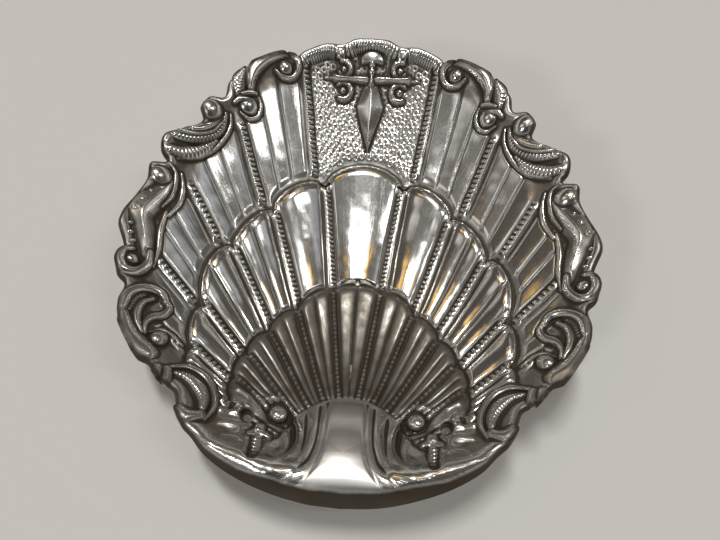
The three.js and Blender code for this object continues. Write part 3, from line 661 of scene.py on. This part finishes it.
def cross_relief(grid):
    """A sword cross: a kite-shaped blade, a sharp-ridged bar with curled ends, and a capped hilt."""
    window = grid.window((-13, 26), (13, 51))
    x, y = grid.x[window] - CROSS_X, grid.y[window]
    ys, widths = zip(*BLADE)
    half_width = np.interp(y, ys, widths)
    outside = np.where((y > ys[0]) & (y < ys[-1]), np.abs(x) - half_width, 9.0)
    panel = -GROOVE_DEPTH
    blade = panel + 0.25 + 1.25 * unit(1 - np.abs(x) / np.maximum(half_width, 0.2))
    grid.lay(window, outside, blade, 0.7, 0.3)
    for side in (-1, 1):
        for over, size in ((1, 1.75), (-1, 2.1)):
            middle = (CROSS_X + side * CURL_X, CROSS_Y + over * (size + 0.25))
            start = 0.5 - 0.18 * over if side < 0 else 0.18 * over
            curl = spiral(middle, start, side * over * 0.72, size, size * 0.75)
            band(grid, curl, [0.5, 0.75, 0.7, 0.6, 0.45], 0.75, panel + 0.35, moat=0.6)
            ball(grid, *middle, 0.75, 0.45, panel + 0.2, 0.3, 0.15)
        tip = [(CROSS_X + side * 7.8, CROSS_Y), (CROSS_X + side * 11, CROSS_Y - 0.3)]
        band(grid, tip, [0.6, 0.2], 0.5, panel + 0.3, True)
    bar = [(CROSS_X - BAR_HALF, CROSS_Y), (CROSS_X, CROSS_Y + 0.1), (CROSS_X + BAR_HALF, CROSS_Y)]
    band(grid, bar, [1, 0.75, 0.85, 0.75, 1], 1.2, panel + 0.35, True, moat=0.6)
    hilt = [(CROSS_X, CROSS_Y - 0.8), (CROSS_X, HILT_TOP_Y)]
    band(grid, hilt, [0.9, 0.55, 0.6, 1.4], 1, panel + 0.35, True)
    window = grid.window((-4, 46), (5, 51))
    x, y = grid.x[window] - CROSS_X, grid.y[window] - CAP_Y
    share = np.hypot(x / 2.8, y / 2.1)
    outside = np.maximum(2 * (share - 1), -y - 0.25 * np.abs(x))
    grid.lay(window, outside, 0.2 + 0.4 * dome(share), 0.5, 0.25)
    ball(grid, CROSS_X, 45.3, 0.8, 0.5, panel + 0.9, 0.2, 0.1)


def top_bosses(grid):
    """Two small square bosses that part the short flutes of the top."""
    for middle in (-BOSS_X, BOSS_X):
        window = grid.window((middle - 2, 46), (middle + 2, 51))
        x = np.abs(grid.x[window] - middle)
        y = np.abs(grid.y[window] - BOSS_Y)
        outside = np.maximum(x - BOSS_HALF_WIDTH, y - BOSS_HALF_LENGTH)
        level = 0.75 - 0.25 * (x / BOSS_HALF_WIDTH) ** 4 - 0.25 * (y / BOSS_HALF_LENGTH) ** 4
        grid.lay(window, outside, level, 0.3, 0.25)


def nicks(grid):
    """Two deep crescent-shaped nicks where the middle lobe meets its neighbours."""
    turns = np.radians(np.linspace(195, 345, 12))
    for middle in (-NICK_X, NICK_X):
        path = np.column_stack([middle + NICK_RADIUS * np.cos(turns), NICK_Y + NICK_RADIUS * np.sin(turns)])
        window, across, along, length = grid.trace(path, 1)
        half_width = 0.05 + 0.3 * dome(2 * along / length - 1)
        grid.relief[window] -= 1.1 * fade(np.abs(across) / half_width, 0.6, 1.2)
        grid.relief[window] += 0.35 * bump(across - 0.55, 0.22) * dome(2 * along / length - 1)
        grid.stain(window, 2.5 * (np.abs(across) < half_width + 0.1))


punched_rings(whole)
cross_relief(whole)
top_bosses(whole)
nicks(whole)


def sample(grid, field, x, y):
    """A field of the raster at places of the plan."""
    column = np.clip((x - grid.xs[0]) / grid.pixel, 0, len(grid.xs) - 1.001)
    row = np.clip((y - grid.ys[0]) / grid.pixel, 0, len(grid.ys) - 1.001)
    left, low = column.astype(int), row.astype(int)
    fx, fy = column - left, row - low
    below = field[low, left] * (1 - fx) + field[low, left + 1] * fx
    above = field[low + 1, left] * (1 - fx) + field[low + 1, left + 1] * fx
    return below * (1 - fy) + above * fy


def noise(grid, size):
    """Random soft waves of a size in millimetres, with a spread of 1."""
    field = blurred(rng.standard_normal(grid.x.shape), size / grid.pixel)
    return field / field.std()


# Height and size of the waves and dents that the tools left, and how far the lines wander.
DENTS = [(0.05, 2.4), (0.018, 1.2), (0.009, 0.7)]
WANDER = 0.16


def hand_work(grid):
    """Lines that wander a little, soft edges, slow waves and small dents, fewer on the lip."""
    reach = WANDER * smoothstep(whole_inset, 0.8, 3)
    x = grid.x + reach * noise(grid, 4)
    y = grid.y + reach * noise(grid, 4)
    grid.grime = sample(grid, grid.grime, x, y)
    grid.relief = blurred(sample(grid, grid.relief, x, y), 0.9)
    rough = 1 - 0.8 * smoothstep(-grid.y, 38, 44)
    for height, size in DENTS:
        grid.relief += rough * height * noise(grid, size)


hand_work(whole)
surface = bowl_height(whole.x, whole.y) + whole.relief


def standing_out(width, height):
    """How far the surface stands above what lies round it, as a share of a height."""
    return unit((surface - blurred(surface, width)) / height)


def sunk(width, depth):
    """How far the surface lies below what lies round it, as a share of a depth."""
    return unit((blurred(surface, width) - surface) / depth)


# Regions of the dish that are tarnished or polished in their own way.
side_x = np.abs(whole.x)
in_fan = fade(turned, 62, 72)
in_lip = smoothstep(turned, 85, 110)
in_ear = fade(np.hypot((side_x - 16) / 1.3, whole.y + 37.5), 5.5, 7.5)
on_rim = fade(whole_inset, 5.5, 7.5)
broad_crest = standing_out(13, 0.4)

# The film that lies on even the brightest silver.
LEAST_FILM = 0.17


def tarnish_and_edge_shade():
    """Tarnished brown in creases, notches and channels and in the inner tier; down the trimmed edge and the
    lip's outer wall the brown is partly tarnished metal and partly painted shade.
    """
    creases = 0.75 * sunk(4, 0.16) + 0.38 * sunk(12, 0.55) + 0.5 * (1 - 0.6 * in_ear) * whole.grime
    field = unit(creases) * (1 - 0.1 * in_ear)
    channels = bump(whole_radius - inner_edge - 0.4, 0.6) + bump(whole_radius - middle_edge - 0.5, 0.65)
    in_inner = fade(whole_radius, inner_edge - 1.5, inner_edge)
    in_inner = in_inner * smoothstep(whole_radius, 6, INNER_START)
    field = unit(field + in_fan * (0.1 * channels + 0.34 * in_inner))
    # Painted shade: the turned-down edge, widest on the lip's outer wall, is darkened partly as real
    # tarnished metal and partly as the shade that falls under the edge.
    edge_tarnish_and_shade = fade(whole_inset, 0.4 + 1.2 * in_lip, 1.6 + 1.4 * in_lip)
    field = np.maximum(field, (0.9 + 0.1 * in_lip) * edge_tarnish_and_shade)
    hollows = 0.3 * sunk(8, 0.3) + 0.2 * (1 - broad_crest)
    return unit(field + hollows * on_rim * (1 - in_lip))


def film():
    """A thin dull film: over the inner tier, the ears, the rim's hollows, the panel and round the cross."""
    ahead = turned < 90
    crest = standing_out(8, 0.4)
    field = in_fan * fade(whole_radius, inner_edge - 0.5, inner_edge + 0.5)
    field = np.maximum(field, in_ear) * (1 - (0.3 + 0.6 * crest) * in_ear)
    field *= np.where(ahead, smoothstep(whole_radius, INNER_START - 2, INNER_START), 1)
    field *= smoothstep(side_x, 4, 6) + (whole.y > -30)
    low_flutes = 0.6 * smoothstep(turned, 45, 62) * ahead
    beside_channel = 0.6 * in_fan * bump(whole_radius - middle_edge - 1, 1.6)
    rim_hollows = (1 - 0.9 * broad_crest) * on_rim * (turned < 95)
    field = unit(np.maximum.reduce([field, low_flutes, beside_channel, rim_hollows]))
    field[(turned < 11.5) & (whole_inset < 4)] = 0
    field[(turned < PANEL_EDGE) & (whole_radius > middle_edge) & (whole_inset > 4)] = 0.45
    by_cross = bump(np.hypot((side_x - 5.5) / 1.6, whole.y - 44), 4.5)
    return np.maximum(field, np.clip(1.2 * by_cross - crest, LEAST_FILM, 0.9))


def brushing():
    """Where the neck is brushed, not burnished."""
    return fade(side_x / 6, 0.9, 1.5) * smoothstep(-whole.y, 28, 31)


def leaning():
    """How far the relief leans inwards near the rim, because it stands square to the bowl."""
    slope_y, slope_x = np.gradient(bowl_height(whole.x, whole.y), whole.pixel)
    standing = blurred(np.clip(whole.relief, -0.6, 2.5), 8)
    return -slope_x * standing, -slope_y * standing


def lower_face():
    """Height of the sheet's underside, where the relief shows softly."""
    soft = blurred(surface, 3.5)
    slope_y, slope_x = np.gradient(soft, whole.pixel)
    thickness = SHEET_THICKNESS * np.minimum(np.hypot(1, np.hypot(slope_x, slope_y)), 2.4)
    return np.minimum(soft - thickness, surface - 0.2)


def even_outline(count):
    """Places evenly along the whole trimmed edge, anticlockwise from the top."""
    left = half_outline * (-1, 1)
    closed = np.vstack([left, half_outline[-2::-1]])
    lengths = np.concatenate([[0], np.cumsum(np.hypot(*np.diff(closed, axis=0).T))])
    places = np.linspace(0, lengths[-1], count, endpoint=False)
    return np.column_stack([np.interp(places, lengths, closed[:, axis]) for axis in (0, 1)])


# The mesh runs in rings from a hub to the trimmed edge.
HUB = np.array([0.0, -3.0])
HUB_REACH = 50
EDGE_COUNT = 2240
HUB_COUNT = 70
UPPER_STEP = 0.16
UNDER_STEP = 0.5

# What the fields are on the underside.
UNDERSIDE = dict(cavity=0.25, dull=0.6, brushed=0.5)


def ring_shares(step):
    """Shares of the way from the hub to the edge, closer together at the edge."""
    close = [0.0, 0.1, 0.2, 0.32, 0.46, 0.62, 0.8, 1.0]
    rest = np.arange(1.0 + step, HUB_REACH - 1, step)
    return 1 - np.concatenate([close, rest])[::-1] / HUB_REACH


def sheet_rings(outline, step):
    """Rings of the plan, from the hub outwards, each with half the places of the next where it is small."""
    rings = []
    for share in ring_shares(step):
        count = len(outline)
        while share * len(outline) / count < 0.5 and count > HUB_COUNT:
            count //= 2
        places = outline[:: len(outline) // count]
        rings.append(HUB + share * (places - HUB))
    return rings


def join(inner, outer):
    """Faces between two rings of vertex numbers, the outer one as long or twice as long."""
    after = np.roll(inner, -1)
    if len(inner) == len(outer):
        return [np.column_stack([inner, outer, np.roll(outer, -1), after])]
    even, odd = outer[0::2], outer[1::2]
    return [
        np.column_stack([inner, even, odd]),
        np.column_stack([inner, odd, after]),
        np.column_stack([after, odd, np.roll(even, -1)]),
    ]


def in_scene(name, data):
    """A new object, linked to the scene."""
    piece = bpy.data.objects.new(name, data)
    bpy.context.scene.collection.objects.link(piece)
    return piece


def make_mesh(name, places, faces, fields):
    """An object from places in millimetres, groups of faces, and a number per place for each field."""
    mesh = bpy.data.meshes.new(name)
    mesh.vertices.add(len(places))
    mesh.vertices.foreach_set("co", (places * MM).astype(np.float32).ravel())
    corners = np.concatenate([group.ravel() for group in faces])
    sizes = np.concatenate([np.full(len(group), group.shape[1]) for group in faces])
    mesh.loops.add(len(corners))
    mesh.loops.foreach_set("vertex_index", corners.astype(np.int32))
    mesh.polygons.add(len(sizes))
    starts = np.concatenate([[0], np.cumsum(sizes)[:-1]])
    mesh.polygons.foreach_set("loop_start", starts.astype(np.int32))
    mesh.update(calc_edges=True)
    mesh.validate()
    mesh.shade_smooth()
    for field_name, values in fields.items():
        attribute = mesh.attributes.new(field_name, "FLOAT", "POINT")
        attribute.data.foreach_set("value", values.astype(np.float32))
    return in_scene(name, mesh)


def build_sheet():
    """The whole sheet: a fine upper face, a coarser lower one, and the trimmed edge between them."""
    outline = even_outline(EDGE_COUNT)
    lean_x, lean_y = leaning()
    lower = lower_face()
    rows, plans, faces = [], [], []
    count = 0

    def add(plan, level):
        """Adds the places of a ring on the upper or lower level, and gives their numbers."""
        nonlocal count
        lean = np.column_stack([sample(whole, lean_x, *plan.T), sample(whole, lean_y, *plan.T)])
        plans.append(plan)
        rows.append(np.column_stack([plan + lean, sample(whole, level, *plan.T)]))
        first = count
        count += len(plan)
        return np.arange(first, count)

    upper = [add(ring, surface) for ring in sheet_rings(outline, UPPER_STEP)]
    hub = add(HUB[None], surface)
    for inner, outer in zip(upper[:-1], upper[1:]):
        faces += join(inner, outer)
    first = upper[0]
    faces.append(np.column_stack([np.full(len(first), hub[0]), first, np.roll(first, -1)]))
    low_edge = add(outline, lower)
    faces += join(upper[-1], low_edge)
    under = [add(ring, lower) for ring in sheet_rings(outline[::2], UNDER_STEP)[:-1]]
    for inner, outer in zip(under, [*under[1:], low_edge]):
        faces += [group[:, ::-1] for group in join(inner, outer)]
    low_hub = add(HUB[None], lower)
    first = under[0]
    faces.append(np.column_stack([np.full(len(first), low_hub[0]), np.roll(first, -1), first]))
    x, y = np.vstack(plans).T
    is_under = np.arange(count) >= low_edge[0]
    fields = dict(cavity=tarnish_and_edge_shade(), dull=film(), brushed=brushing())
    for name, field in fields.items():
        fields[name] = np.where(is_under, UNDERSIDE[name], sample(whole, field, x, y))
    return make_mesh("shell_sheet_visual", np.vstack(rows), faces, fields)


class Nodes:
    """Short ways to add and link nodes."""

    def __init__(self, tree):
        self.tree = tree

    def add(self, kind, inputs=None, **settings):
        node = self.tree.nodes.new(kind)
        for key, value in settings.items():
            setattr(node, key, value)
        for key, value in (inputs or {}).items():
            self.set(node.inputs[key], value)
        return node

    def set(self, socket, value):
        if isinstance(value, bpy.types.NodeSocket):
            self.tree.links.new(value, socket)
        else:
            socket.default_value = value

    def math(self, operation, first, second=0.0, clamp=False):
        node = self.add("ShaderNodeMath", {0: first, 1: second}, operation=operation, use_clamp=clamp)
        return node.outputs[0]

    def plus(self, *terms):
        total = terms[0]
        for term in terms[1:]:
            total = self.math("ADD", total, term)
        return total

    def times(self, first, second):
        return self.math("MULTIPLY", first, second)

    def field(self, name):
        return self.add("ShaderNodeAttribute", attribute_name=name).outputs["Fac"]

    def noise(self, coordinates, scale, detail=3.0, rough=0.5):
        node = self.add("ShaderNodeTexNoise", {"Vector": coordinates, "Scale": scale, "Detail": detail,
                                               "Roughness": rough})
        return node.outputs["Fac"]

    def remap(self, value, low, high, to_low=0.0, to_high=1.0):
        node = self.add("ShaderNodeMapRange", {"Value": value, "From Min": low, "From Max": high,
                                               "To Min": to_low, "To Max": to_high})
        return node.outputs["Result"]

    def mix(self, factor, first, second):
        node = self.add("ShaderNodeMix", data_type="RGBA")
        self.set(node.inputs["Factor"], factor)
        self.set(node.inputs["A"], first)
        self.set(node.inputs["B"], second)
        return node.outputs["Result"]

    def bump(self, height, strength, distance):
        node = self.add("ShaderNodeBump", {"Height": height, "Strength": strength, "Distance": distance})
        return node.outputs["Normal"]


def principled(name):
    """A new material, its nodes, and its shader."""
    material = bpy.data.materials.new(name)
    material.use_nodes = True
    tree = material.node_tree
    return material, Nodes(tree), tree.nodes["Principled BSDF"]


def polishing_strokes(nodes, place):
    """Fine strokes that run along the flutes, outwards from the fan's focus."""
    apart = nodes.add("ShaderNodeSeparateXYZ", {"Vector": place})
    across = apart.outputs["X"]
    forward = nodes.math("SUBTRACT", apart.outputs["Y"], FOCUS_Y * MM)
    out = nodes.math("SQRT", nodes.plus(nodes.times(across, across), nodes.times(forward, forward)))
    stretched = nodes.add("ShaderNodeCombineXYZ", {
        "X": nodes.times(nodes.math("ARCTAN2", across, forward), 0.06),
        "Y": nodes.times(out, 0.12),
    }).outputs["Vector"]
    waves = nodes.noise(stretched, 700, 2, 0.5)
    return nodes.plus(nodes.noise(stretched, 2600, 3, 0.6), nodes.times(waves, 9))


# The sheet's metal where it is bright, where a film dulls it and where it is tarnished; the tarnished brown
# also paints the shade down the trimmed edge.
BRIGHT = (0.85, 0.84, 0.81, 1)
FILMED = (0.09, 0.069, 0.042, 1)
TARNISH_AND_SHADE = (0.042, 0.031, 0.017, 1)


def silver_material():
    """Struck silver: polished where hands reach, tarnished brown in every crease, with brown painted shade
    down the trimmed edge.
    """
    material, nodes, shader = principled("struck_silver_look")
    place = nodes.add("ShaderNodeTexCoord").outputs["Object"]
    blotch = nodes.noise(place, 260, 5, 0.6)
    fine = nodes.noise(place, 2200, 4, 0.6)
    uneven = nodes.times(nodes.math("SUBTRACT", blotch, 0.5), 0.5)
    # The cavity field holds tarnished creases and the painted shade down the trimmed edge; both turn to the
    # dark brown below.
    deep = nodes.remap(nodes.plus(nodes.field("cavity"), uneven), 0.28, 0.9)
    thin = nodes.times(nodes.field("dull"), nodes.remap(blotch, 0.2, 0.8, 0.6, 1.0))
    brushed = nodes.field("brushed")
    nodes.set(shader.inputs["Base Color"], nodes.mix(deep, nodes.mix(thin, BRIGHT, FILMED), TARNISH_AND_SHADE))
    covered = nodes.plus(nodes.times(thin, 0.25), nodes.times(deep, 0.6))
    nodes.set(shader.inputs["Metallic"], nodes.math("SUBTRACT", 1.0, covered, clamp=True))
    rough = nodes.plus(nodes.remap(fine, 0.3, 0.8, 0.14, 0.21), nodes.times(nodes.times(thin, thin), 0.3),
                       nodes.times(deep, 0.25), nodes.times(brushed, 0.16))
    nodes.set(shader.inputs["Roughness"], rough)
    strokes = nodes.times(polishing_strokes(nodes, place), nodes.math("SUBTRACT", 1.0, brushed))
    height = nodes.plus(strokes, nodes.times(nodes.noise(place, 5200, 2, 0.7), 0.35))
    nodes.set(shader.inputs["Normal"], nodes.bump(height, 1.0, 0.000006))
    return material


def foot_material():
    """Cast silver of the feet, duller and finely pitted."""
    material, nodes, shader = principled("foot_silver_look")
    place = nodes.add("ShaderNodeTexCoord").outputs["Object"]
    blotch = nodes.noise(place, 400, 4, 0.6)
    pits = nodes.noise(place, 3000, 3, 0.6)
    share = nodes.remap(blotch, 0.35, 0.75)
    nodes.set(shader.inputs["Base Color"], nodes.mix(share, (0.85, 0.83, 0.79, 1), (0.42, 0.37, 0.30, 1)))
    shader.inputs["Metallic"].default_value = 1.0
    nodes.set(shader.inputs["Roughness"], nodes.remap(pits, 0.3, 0.8, 0.18, 0.4))
    nodes.set(shader.inputs["Normal"], nodes.bump(pits, 0.3, 0.00003))
    return material


sheet = build_sheet()
sheet.data.materials.append(silver_material())
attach(sheet, "root")
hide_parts("shell_sheet")

foot_look = foot_material()
for name in ("foot_left", "foot_right", "foot_rear"):
    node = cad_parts[name]
    for slot in node.material_slots:
        slot.material = foot_look


FLOOR_HALF = 1.6


def lay_floor():
    """A plain pale floor."""
    mesh = bpy.data.meshes.new("floor")
    corners = [(x * FLOOR_HALF, y * FLOOR_HALF, 0) for x, y in ((-1, -1), (1, -1), (1, 1), (-1, 1))]
    mesh.from_pydata(corners, [], [(0, 1, 2, 3)])
    floor = in_scene("floor", mesh)
    material, _, shader = principled("floor_look")
    shader.inputs["Base Color"].default_value = (0.70, 0.685, 0.655, 1)
    shader.inputs["Roughness"].default_value = 0.9
    mesh.materials.append(material)


def toward(azimuth, elevation):
    """Direction by its angle from +X about the vertical and its angle above the horizon, in degrees."""
    about, above = math.radians(azimuth), math.radians(elevation)
    return Vector((math.cos(about) * math.cos(above), math.sin(about) * math.cos(above), math.sin(above)))


LAMP_DISTANCE = 2.4


def softbox(name, azimuth, elevation, width, length, roll, radiance):
    """A rectangular lamp of that size in metres, LAMP_DISTANCE from the dish and facing it."""
    data = bpy.data.lights.new(name, "AREA")
    data.shape = "RECTANGLE"
    data.size, data.size_y = width, length
    data.energy = radiance * math.pi * width * length
    lamp = in_scene(name, data)
    direction = toward(azimuth, elevation)
    lamp.location = direction * LAMP_DISTANCE
    lamp.rotation_mode = "QUATERNION"
    lamp.rotation_quaternion = direction.to_track_quat("Z", "Y") @ Quaternion((0, 0, 1), math.radians(roll))


# A plain pale wall round the floor, and the sines of the angles above the floor between which it fades
# out, and between which the room's clutter starts.
WALL = (0.52, 0.51, 0.49, 1)
WALL_TOP = (0.2, 0.36)
CLUTTER_START = (0.4, 0.6)

# Soft patches of the room round the dish: azimuth, elevation, full and faded angle, colour.
PATCHES = [
    (135, 35, 15, 45, (0.05, 0.042, 0.034)),
    (96, 66, 4, 11, (0.7, 0.69, 0.66)),
    (270, 20, 22, 42, (0.02, 0.019, 0.017)),
    (94, 54, 4, 12, (0.48, 0.43, 0.34)),
    (12, 46, 4, 14, (0.42, 0.43, 0.46)),
    (188, 47, 5, 14, (1.0, 0.98, 0.93)),
    (270, 70, 4, 10, (1.2, 1.19, 1.16)),
    (147, 58, 3, 9, (1.3, 0.78, 0.22)),
    (50, 77, 3, 7, (2.4, 1.3, 0.35)),
]


def sky():
    """The room: dim and brownish low down, lighter overhead, with a few soft patches."""
    world = bpy.data.worlds.new("studio")
    bpy.context.scene.world = world
    world.use_nodes = True
    nodes = Nodes(world.node_tree)
    direction = nodes.add("ShaderNodeTexCoord").outputs["Generated"]
    height = nodes.add("ShaderNodeSeparateXYZ", {"Vector": direction}).outputs["Z"]
    colour = nodes.mix(nodes.remap(height, 0.1, 1.0), (0.062, 0.051, 0.037, 1), (0.1, 0.096, 0.088, 1))
    for azimuth, elevation, full, faded, shade in PATCHES:
        facing = nodes.add("ShaderNodeVectorMath", {0: direction, 1: toward(azimuth, elevation)},
                           operation="DOT_PRODUCT").outputs["Value"]
        share = nodes.remap(facing, math.cos(math.radians(faded)), math.cos(math.radians(full)))
        colour = nodes.mix(share, colour, (*shade, 1))
    clutter = nodes.remap(nodes.noise(direction, 4.2, 3, 0.55), 0.35, 0.65, 0.3, 1.8)
    above_wall = nodes.remap(height, *WALL_TOP)
    overhead = nodes.remap(height, *CLUTTER_START)
    strength = nodes.plus(1, nodes.times(overhead, nodes.math("SUBTRACT", clutter, 1)))
    background = world.node_tree.nodes["Background"]
    nodes.set(background.inputs["Color"], nodes.mix(above_wall, WALL, colour))
    nodes.set(background.inputs["Strength"], strength)


def camera():
    """The camera, where the photograph was taken from, by the axes of its picture and its place."""
    data = bpy.data.cameras.new("camera")
    data.lens = 37.0
    data.sensor_width = 36.0
    view = in_scene("camera", data)
    right = (0.99796637, 0.06374211, 0.00026034)
    up = (-0.05737097, 0.89642293, 0.43947072)
    back = (0.02777942, -0.43859193, 0.89825688)
    place = (4.955 * MM, -72.419 * MM, 155.506 * MM)
    matrix = Matrix((right, up, back)).transposed().to_4x4()
    matrix.translation = place
    view.matrix_world = matrix
    data.clip_start = 0.01
    bpy.context.scene.camera = view


lay_floor()
softbox("key", 118, 81, 0.18, 0.6, 0, 72)
softbox("window", -14, 61, 0.3, 0.8, 20, 7)
softbox("lamp", 232, 40, 0.35, 0.35, 0, 18)
sky()
camera()
bpy.context.scene.view_settings.view_transform = "Standard"
